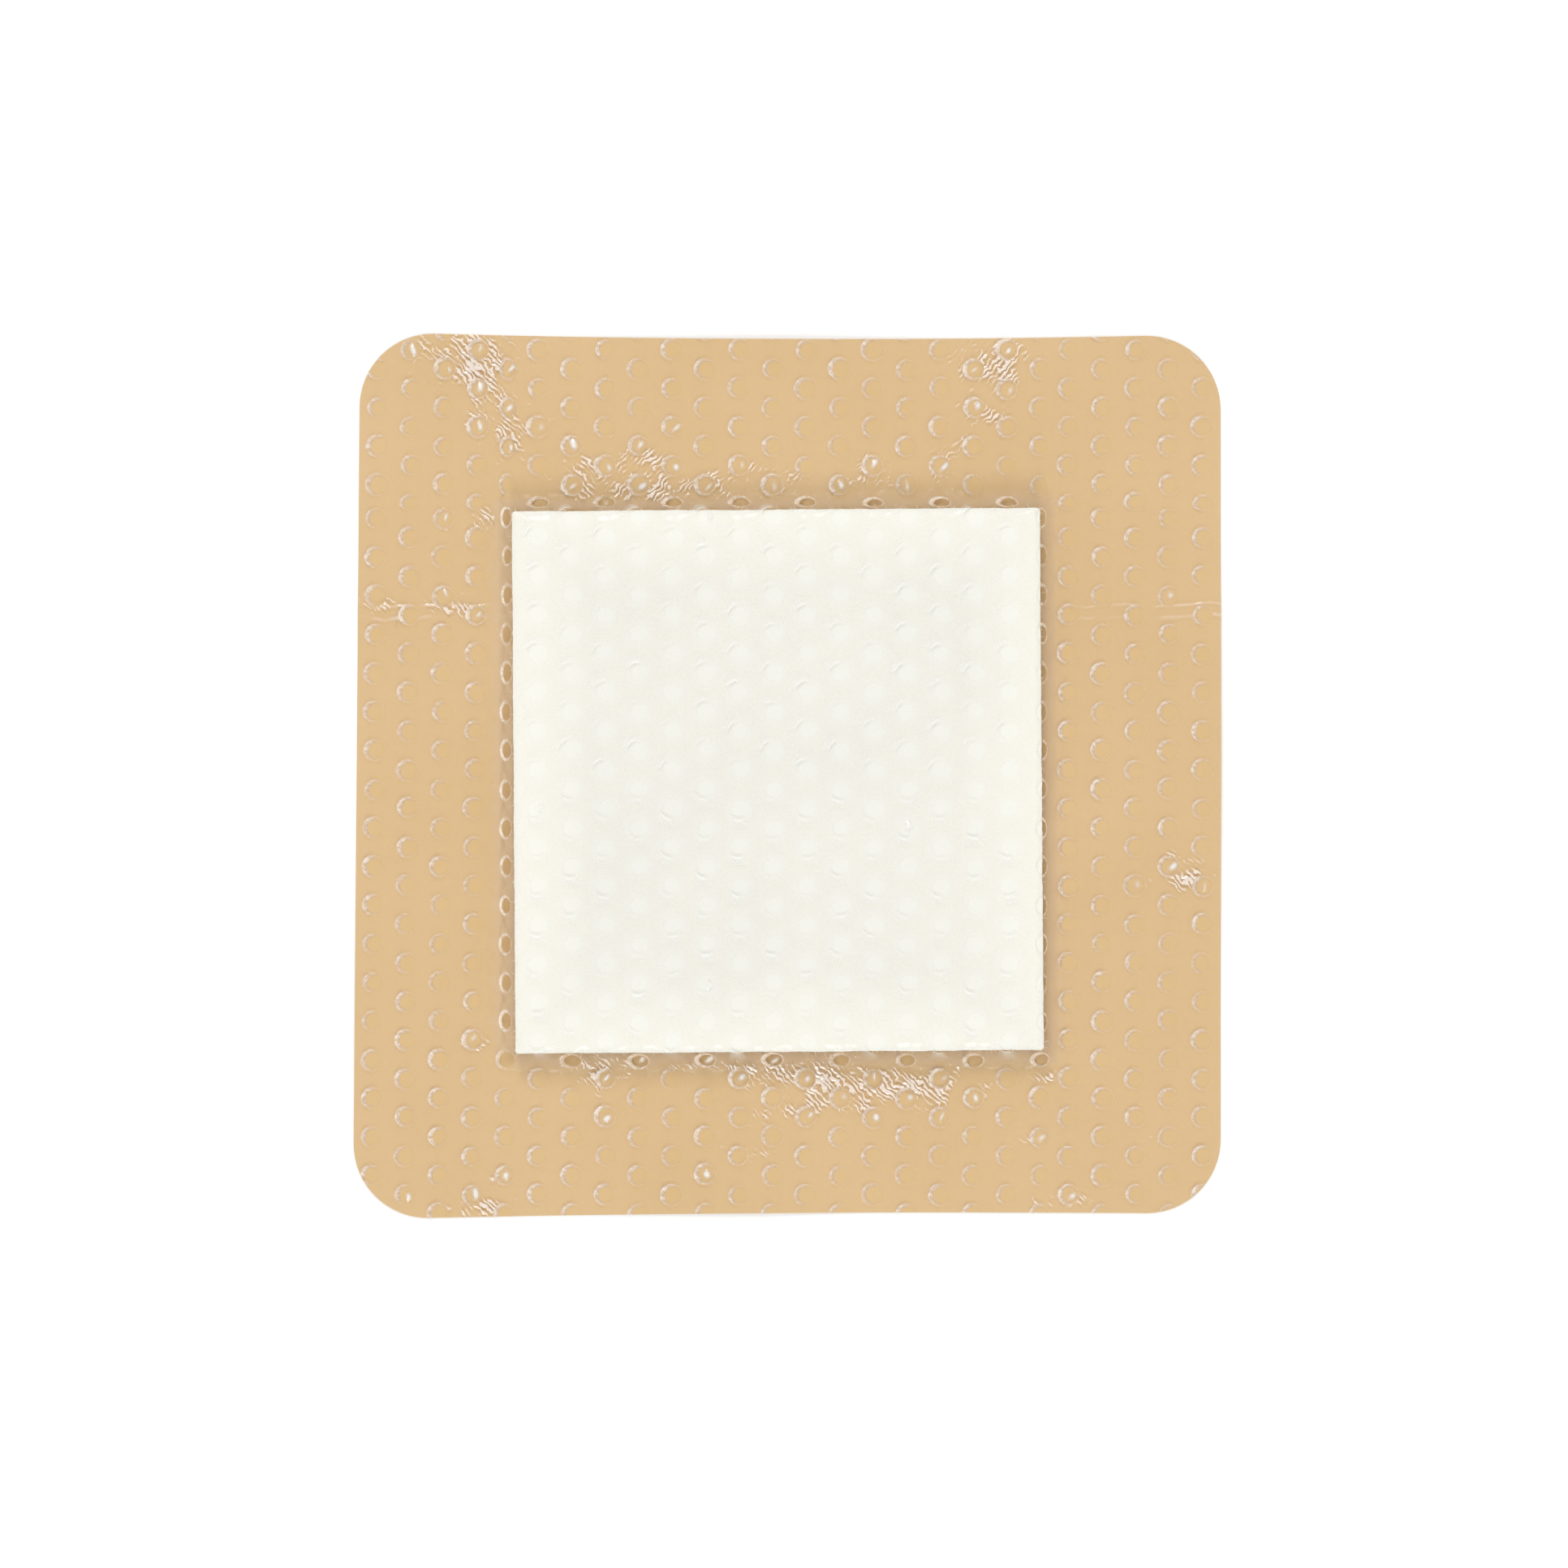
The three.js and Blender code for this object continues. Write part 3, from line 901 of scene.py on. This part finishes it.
def draw_in(outline, pad, film, x, y):
    """Where a place of the flat film lies once the film is laid over the pad, which draws in all that is
    beyond a tent."""
    left = np.clip((pad.x - pad.width / 2 - x) / film.tent_left, 0, 1)
    right = np.clip((x - pad.x - pad.width / 2) / film.tent_right, 0, 1)
    far = np.clip((y - pad.y - pad.length / 2) / film.tent_far, 0, 1)
    lean = outline.left_lean * y / outline.length
    return x + left * (film.draw_left + lean) - right * film.draw_right, y - far * film.draw_far


def slope_squeeze(pad, film, x, y):
    """How much narrower a hole looks from above where the film runs down its tent, across and along."""
    u, v = pad_frame(pad, x, y)
    reach = SLOPE_REACH
    past_x, past_y = np.abs(u) - pad.width / 2, np.abs(v) - pad.length / 2
    on_side = (past_x > -reach) & (past_x < film.tent_right + reach) & (past_y < reach)
    on_end = (past_y > -reach) & (past_y < film.tent_near + reach) & (past_x < reach)
    return np.where(on_side, SLOPE_ACROSS, 1.0), np.where(on_end, SLOPE_ALONG, 1.0)


def cell_rings(outline, pad, film):
    """The film round every hole, as rings r(t) about its middle: mouth, crest, foot of the crest and the
    six-sided edge of the hole's own cell, where r = spacing / (2 cos(angle from the nearest neighbour)).
    Gives the flat places of the upper side's four rings, and of the lower side's mouth, which is the only one
    that differs. Then come two values for the points round each hole: how milky the wall is, which is most on
    the left, in streaks that run down it and more near the wrinkles as painted highlight, and how strongly a
    painted glint whitens the rim over the pad, in one short arc. The last one is whether the hole lies over
    the pad."""
    rng = np.random.default_rng(51)
    middles = hole_cells(outline, film)
    count = len(middles)
    angle = np.arange(HOLE_POINTS) * 2 * math.pi / HOLE_POINTS
    way = np.stack([np.cos(angle), np.sin(angle)], 1)
    size = 1 + HOLE_SPREAD * rng.standard_normal(count)[:, None, None]
    shift = HOLE_STRAY * rng.standard_normal((count, 1, 2))
    squeeze = np.stack(slope_squeeze(pad, film, *middles.T), 1)[:, None]
    wobble = 1 + HOLE_WOBBLE * rng.standard_normal((count, HOLE_POINTS, 1))
    mouth, foot = film.mouth_diameter / 2, film.hole_diameter / 2
    at = middles[:, None] + shift
    slant = np.array([-film.hole_slant, 0.03 * MM])
    lower = at + foot * size * wobble * squeeze * way
    upper = at + (slant + mouth * size * wobble * way) * squeeze
    crest = at + (slant + (mouth + CREST_AT) * size * way) * squeeze
    crest_foot = at + (slant + (mouth + CREST_FOOT_AT) * size * way) * squeeze
    from_side = np.mod(angle, math.pi / 3) - math.pi / 6
    edge = middles[:, None] + (film.hole_spacing / 2 / np.cos(from_side))[:, None] * way
    facing = np.clip(np.cos(angle - MILKY_SIDE), -0.3, 1)
    streak = rng.uniform(0.45, 1.25, (count, HOLE_POINTS)) * rng.uniform(0.6, 1.15, (count, 1))
    milk = (0.34 + 0.66 * facing) * streak
    # Near the wrinkles the wall is whitened further, as painted highlight flecks.
    folds_and_sheen = np.clip(bumps(*middles.T, WRINKLED), 0, 1)[:, None]
    milk = milk + 0.4 * folds_and_sheen * rng.uniform(0.2, 1.3, (count, HOLE_POINTS))
    on_slope = (squeeze < 1).any(2)
    milk = np.where(on_slope, (1.1 + 0.4 * facing) * streak, milk)
    on_top = on_pad(pad, *middles.T, SLOPE_REACH)[:, None]
    milk = np.where(on_top, 0.5 * milk, milk)
    # Painted glint: one short white arc on each rim over the pad, on its side that faces a lamp.
    dash_at = np.where(middles[:, 1] > 0, DASH_FAR, DASH_NEAR)[:, None] + rng.uniform(-0.35, 0.35, (count, 1))
    painted_rim_glint = np.exp(-((np.cos(angle - dash_at) - 1) * 7) ** 2) * rng.uniform(0.1, 1.2, (count, 1)) * on_top
    return np.stack([upper, crest, crest_foot, edge], 1), lower, milk, painted_rim_glint, on_top


def shared_points(rings):
    """Numbers the points of all the rings so that neighbouring cells share those on their common edges."""
    count = rings.shape[0]
    own = count * 3 * HOLE_POINTS
    keys = np.round(rings[:, 3].reshape(-1, 2) / (0.001 * MM)).astype(np.int64)
    _, first, number = np.unique(keys, axis=0, return_index=True, return_inverse=True)
    index = np.empty((count, 4, HOLE_POINTS), np.int64)
    index[:, :3] = np.arange(own).reshape(count, 3, HOLE_POINTS)
    index[:, 3] = own + number.reshape(count, HOLE_POINTS)
    flat = np.concatenate([rings[:, :3].reshape(-1, 2), rings[:, 3].reshape(-1, 2)[first]])
    ring = np.concatenate([np.tile(np.repeat(np.arange(3), HOLE_POINTS), count), np.full(len(first), 3)])
    return index, flat, ring


def film_height(pad, film, x, y):
    """Height of the film's underside: on the border, on the pad, and down a slope between that sags a little,
    as (1 - share)^1.25."""
    ground = BACKING_HIGH.z + border_lift(x, y) + FILM_GAP
    top = PAD_HIGH.z + FILM_GAP
    return ground + (top - ground) * (1 - tent_share(pad, film, x, y)) ** 1.25


def wrinkles(x, y):
    """How wrinkled the film is from 0 up, and how far it has come up there: ridged noise in two sizes."""
    strength = bumps(x, y, WRINKLED) * (0.75 + 0.35 * soft_noise(x, y, 1.8 * MM, 61))
    strength = np.clip(strength, 0, 1.4)
    rise = 0.16 * ridges(x, y, 2.3 * MM, 62) + 0.07 * ridges(x, y, 0.9 * MM, 63)
    return strength, strength * rise * MM


def rim_walls(net, total):
    """Quads that join the upper side to the lower one, whose points follow after that many, along every edge
    that only one face of the net uses."""
    edges = np.stack([net, np.roll(net, -1, 1)], -1).reshape(-1, 2)
    _, first, times = np.unique(np.sort(edges, 1), axis=0, return_index=True, return_counts=True)
    rim = edges[first[times == 1]]
    return np.stack([rim[:, 1], rim[:, 0], rim[:, 0] + total, rim[:, 1] + total], -1)


def film_values(pad, film, index, ring, places, hole_milk, painted_rim_glint, on_top):
    """The values by name of the points of the upper and then the lower side, from the places of the upper
    side and the values round each hole. The veil is densest where the film hangs in the air."""
    total = len(places)
    over_pad = on_pad(pad, *places.T, 0)
    milk = np.zeros(total)
    milk[index[:, :3]] = hole_milk[:, None] * np.array(RING_MILK)[:3, None]
    milk[over_pad] *= 0.1
    # Painted glints on the crest of each rim over the pad, half as strong at the crest's foot.
    shine = np.zeros(2 * total)
    shine[index[:, 1]] = painted_rim_glint
    shine[index[:, 2]] = 0.5 * painted_rim_glint
    # Painted shade at the foot of each hole's wall beyond the pad, on the film's underside.
    shade = np.zeros(2 * total)
    shade[index[:, 0] + total] = np.where(on_top, 0, FOOT_SHADE)
    share = tent_share(pad, film, *places.T)
    in_air = np.clip(4 * share, 0, 1) * np.clip(4 * (1 - share), 0, 1)
    veil = np.array(RING_VEIL)[ring] * np.where(over_pad, 2.5, 1) + 3.2 * in_air
    folds_and_sheen = np.clip(wrinkles(*places.T)[0], 0, 1.2)
    both = {"veil": veil, "milk": milk, "wrinkle_and_sheen": folds_and_sheen}
    return {**{key: np.tile(value, 2) for key, value in both.items()}, "painted_glint": shine, "shade": shade}


def silicone_mesh(outline, pad, film):
    """Points, faces, attributes and finishes of the perforated film with its drops. Its upper and lower side
    share one net of faces, cut off at the outline, and walls join them round the outline and the holes."""
    rings, lower_mouth, hole_milk, painted_rim_glint, on_top = cell_rings(outline, pad, film)
    index, flat, ring = shared_points(rings)
    under = flat.copy()
    under[index[:, 0]] = lower_mouth
    line = outline_points(outline)
    sides = []
    for places in (flat, under):
        x, y = draw_in(outline, pad, film, *places.T)
        sides.append(np.stack([x, y], 1))
    within = inside(sides[0], line)
    after = np.roll(index, -1, 2)
    net = np.stack([index[:, :-1], index[:, 1:], after[:, 1:], after[:, :-1]], -1)
    finish = np.broadcast_to(np.array([MILKY, CLEAR, CLEAR])[:, None], net.shape[:3]).ravel()
    net = net.reshape(-1, 4)
    kept = within[net].any(1)
    net, finish = net[kept], finish[kept]
    placed = []
    for side, at in enumerate(sides):
        outside = ~inside(at, line)
        used = np.zeros(len(at), bool)
        used[net] = True
        move = outside & used
        at[move] = nearest_on(at[move], line)
        z = film_height(pad, film, *at.T) + wrinkles(*at.T)[1]
        if side == 0:
            z = z + (FILM_HIGH.z - PAD_HIGH.z) - FILM_GAP + film.crest * (ring == 1)
        placed.append(np.column_stack([at, z]))
    total = len(flat)
    walls = rim_walls(net, total)
    values = film_values(pad, film, index, ring, placed[0][:, :2], hole_milk, painted_rim_glint, on_top)
    middles = draw_in(outline, pad, film, *hole_cells(outline, film).T)
    drops, drop_faces, drop_shine = hole_drops(pad, film, *middles, line)
    attributes = {key: np.concatenate([value, np.zeros(len(drops))]) for key, value in values.items()}
    attributes["painted_glint"][2 * total:] = drop_shine
    points = np.concatenate([*placed, drops])
    faces = np.concatenate([net, net[:, ::-1] + total, walls, drop_faces + 2 * total])
    parts = (finish, np.full(len(net), UNDER), np.full(len(walls), MILKY), np.full(len(drop_faces), CLEAR))
    return points, faces, attributes, np.concatenate(parts)


DROP_STEPS = 6  # rings from a drop's middle to its edge
DROP_POINTS = 16  # points round each ring
DROP_FROM = 0.32  # how wrinkled the film is where its holes hold drops


def hole_drops(pad, film, x, y, line):
    """Drops of silicone that have run into the holes where the film has come up: each is closed, and its
    upper side is a crooked dome h (1 - r^2). A painted glint whitens it in one long patch, exp(-(u/a)^2 -
    (v/b)^2) about a place off its middle. Gives points, quads and the painted glint."""
    rng = np.random.default_rng(71)
    strength = bumps(x, y, WRINKLED) + 0.15 * rng.standard_normal(len(x))
    chosen = strength > DROP_FROM
    for dx, dy in ((1, 1), (-1, 1), (-1, -1), (1, -1)):
        corner = np.stack([x + dx * film.hole_diameter / 2, y + dy * film.hole_diameter / 2], 1)
        chosen &= inside(corner, line)
    x, y = x[chosen], y[chosen]
    count = len(x)
    share = np.linspace(0.04, 1, DROP_STEPS)
    angle = np.arange(DROP_POINTS) * 2 * math.pi / DROP_POINTS
    across, along = np.cos(angle) * share[:, None], np.sin(angle) * share[:, None]
    tilt = rng.uniform(-0.5, 0.5, (2, count, 1, 1))
    height = rng.uniform(0.14, 0.24, (count, 1, 1)) * MM
    dome = height * (1 - share[:, None] ** 2) * (1 + tilt[0] * across + tilt[1] * along)
    radius = 0.96 * film.hole_diameter / 2
    squeeze_x, squeeze_y = slope_squeeze(pad, film, x, y)
    px = x[:, None, None] + radius * squeeze_x[:, None, None] * across
    py = y[:, None, None] + radius * squeeze_y[:, None, None] * along
    base = film_height(pad, film, px, py) + 0.02 * MM
    top, under = np.stack([px, py, base + dome + 0.02 * MM], -1), np.stack([px, py, base], -1)
    shells = np.concatenate([under, top[:, ::-1]], 1)
    lean = rng.uniform(-0.9, 0.4, (count, 1, 1))
    off_x, off_y = rng.uniform(-0.1, 0.5, (count, 1, 1)), rng.uniform(-0.3, 0.45, (count, 1, 1))
    u = np.cos(lean) * (across - off_x) + np.sin(lean) * (along - off_y)
    v = np.cos(lean) * (along - off_y) - np.sin(lean) * (across - off_x)
    wide, long = rng.uniform(0.16, 0.34, (count, 1, 1)), rng.uniform(0.35, 0.7, (count, 1, 1))
    # Painted glint: a long white patch off the middle of each drop's upper side.
    shine = rng.uniform(0.5, 1.9, (count, 1, 1)) * np.exp(-((u / wide) ** 2) - (v / long) ** 2)
    shine = np.concatenate([0 * shine, shine[:, ::-1]], 1).clip(0, 1)
    steps = 2 * DROP_STEPS
    start = np.arange(count)[:, None, None] * steps * DROP_POINTS
    quads = closed_rings(steps, DROP_POINTS)[None] + start
    k = np.arange(DROP_POINTS // 2 - 1)
    cap = np.stack([k, k + 1, DROP_POINTS - 2 - k, DROP_POINTS - 1 - k], 1)
    low, high = cap[:, ::-1][None] + start, cap[None] + start + (steps - 1) * DROP_POINTS
    faces = np.concatenate([part.reshape(-1, 4) for part in (quads, low, high)])
    return shells.reshape(-1, 3), faces, shine.ravel()


class MakeSiliconeFilm(bpy.types.Operator):
    """Make the clear perforated silicone film"""

    bl_idname = "dressing.silicone_film"
    bl_label = "Silicone film"

    def execute(self, context):
        scene = context.scene
        outline, pad, film = scene.dressing_outline, scene.dressing_pad, scene.dressing_film
        points, faces, attributes, finish = silicone_mesh(outline, pad, film)
        used = np.unique(faces)
        number = np.full(len(points), -1)
        number[used] = np.arange(len(used))
        attributes = {key: values[used] for key, values in attributes.items()}
        material = silicone_material(tuple(film.clear))
        name = "clear_silicone_film"
        piece = mesh_piece(name, points[used], number[faces].tolist(), material, attributes)
        piece.data.materials.append(under_silicone_material(tuple(film.clear)))
        piece.data.materials.append(milky_rim_material(tuple(film.rim)))
        piece.data.polygons.foreach_set("material_index", finish.astype(np.int32))
        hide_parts("silicone_contact_layer")
        area = outline_area(outline) * (1 - PUNCHED_SHARE)
        return {"FINISHED"}


FLOOR_GLOW = 0.2
SKY_STRENGTH = 0.68


def white_floor_material():
    """A pale floor that shows as pure white to the camera, and still darkens where the object shades it."""
    material, nodes, links = new_material("white_floor")
    shader = nodes["Principled BSDF"]
    shader.inputs["Base Color"].default_value = (0.9, 0.9, 0.9, 1)
    shader.inputs["Roughness"].default_value = 0.9
    shader.inputs["Specular IOR Level"].default_value = 0.0
    path = nodes.new("ShaderNodeLightPath")
    seen = [path.outputs[f"Is {kind} Ray"] for kind in ("Camera", "Glossy", "Transmission")]
    glow = combine(nodes, links, "MULTIPLY", combine(nodes, links, "MAXIMUM", *seen), FLOOR_GLOW)
    links.new(glow, shader.inputs["Emission Strength"])
    shader.inputs["Emission Color"].default_value = (1, 1, 1, 1)
    return material


def white_world(strength):
    """An even white sky that lights softly, and shows as pure white to the camera."""
    world = bpy.data.worlds.new("soft_white_room")
    bpy.context.scene.world = world
    world.use_nodes = True
    nodes, links = world.node_tree.nodes, world.node_tree.links
    path = nodes.new("ShaderNodeLightPath")
    level = add_node(nodes, "ShaderNodeMapRange")
    level.inputs["To Min"].default_value = strength
    level.inputs["To Max"].default_value = 1.0
    links.new(path.outputs["Is Camera Ray"], level.inputs["Value"])
    links.new(level.outputs["Result"], nodes["Background"].inputs["Strength"])
    nodes["Background"].inputs["Color"].default_value = (1, 1, 1, 1)


def soft_lamp(name, azimuth, elevation, distance, size, power):
    """A lamp of that width and height, at that bearing and elevation in degrees, turned to the object."""
    data = bpy.data.lights.new(name, "AREA")
    data.shape = "RECTANGLE"
    data.size, data.size_y = size
    data.energy = power
    lamp = bpy.data.objects.new(name, data)
    bpy.context.scene.collection.objects.link(lamp)
    a, e = math.radians(azimuth), math.radians(elevation)
    lamp.location = (
        distance * math.sin(a) * math.cos(e),
        distance * math.cos(a) * math.cos(e),
        distance * math.sin(e),
    )
    lamp.rotation_euler = (math.pi / 2 - e, 0, math.pi - a)


PHOTO_PIXELS = 1932
PIXELS_PER_MM = 10.72
PHOTO_MIDDLE_X = -0.33 * MM  # what lies at the middle of the photograph
PHOTO_MIDDLE_Y = -0.93 * MM
CAMERA_HEIGHT = 0.65
SENSOR_MM = 36
FLOOR_REACH = 3.0
LAMP_DISTANCE = 0.9


def add_camera():
    """The camera looks straight down from hand-held height and frames what the photograph frames."""
    data = bpy.data.cameras.new("camera")
    width = PHOTO_PIXELS / PIXELS_PER_MM * MM
    data.sensor_width = data.sensor_height = SENSOR_MM
    data.lens = SENSOR_MM * CAMERA_HEIGHT / width
    data.clip_start, data.clip_end = 0.01, 10
    camera = bpy.data.objects.new("camera", data)
    camera.location = (PHOTO_MIDDLE_X, PHOTO_MIDDLE_Y, CAMERA_HEIGHT + BACKING_HIGH.z)
    bpy.context.scene.collection.objects.link(camera)
    bpy.context.scene.camera = camera


class SetStage(bpy.types.Operator):
    """Set the camera, the white floor and the soft lamps"""

    bl_idname = "dressing.stage"
    bl_label = "Stage"

    def execute(self, context):
        add_camera()
        mesh = bpy.data.meshes.new("floor")
        corners = [(sx * FLOOR_REACH, sy * FLOOR_REACH, 0) for sx, sy in ((-1, -1), (1, -1), (1, 1), (-1, 1))]
        mesh.from_pydata(corners, [], [(0, 1, 2, 3)])
        mesh.materials.append(white_floor_material())
        floor = bpy.data.objects.new("floor", mesh)
        context.scene.collection.objects.link(floor)
        white_world(SKY_STRENGTH)
        soft_lamp("far_lamp", -10, 48, LAMP_DISTANCE, (0.13, 0.32), 2.0)
        soft_lamp("near_lamp", 180, 46, LAMP_DISTANCE, (0.12, 0.3), 1.8)
        context.scene.view_settings.view_transform = "Standard"
        return {"FINISHED"}


OPERATORS = (SetStage, MakeBackingFilm, MakeFoamPad, MakeSiliconeFilm)


class DressingPanel(bpy.types.Panel):
    """Lists the pieces of the dressing"""

    bl_label = "Dressing"
    bl_idname = "VIEW3D_PT_dressing"
    bl_space_type = "VIEW_3D"
    bl_region_type = "UI"
    bl_category = "Dressing"

    def draw(self, context):
        for operator in OPERATORS:
            self.layout.operator(operator.bl_idname)


def register():
    """Adds the properties, the operators and the panel to Blender."""
    for name, group in PROPERTY_GROUPS.items():
        bpy.utils.register_class(group)
        setattr(bpy.types.Scene, name, PointerProperty(type=group))
    for kind in (*OPERATORS, DressingPanel):
        bpy.utils.register_class(kind)


def unregister():
    """Takes them away again."""
    for kind in (DressingPanel, *reversed(OPERATORS)):
        bpy.utils.unregister_class(kind)
    for name, group in reversed(PROPERTY_GROUPS.items()):
        delattr(bpy.types.Scene, name)
        bpy.utils.unregister_class(group)


def main():
    """Makes the stage and the pieces."""
    register()
    bpy.ops.dressing.stage()
    bpy.ops.dressing.backing_film()
    bpy.ops.dressing.foam_pad()
    bpy.ops.dressing.silicone_film()


if __name__ == "__main__":
    main()
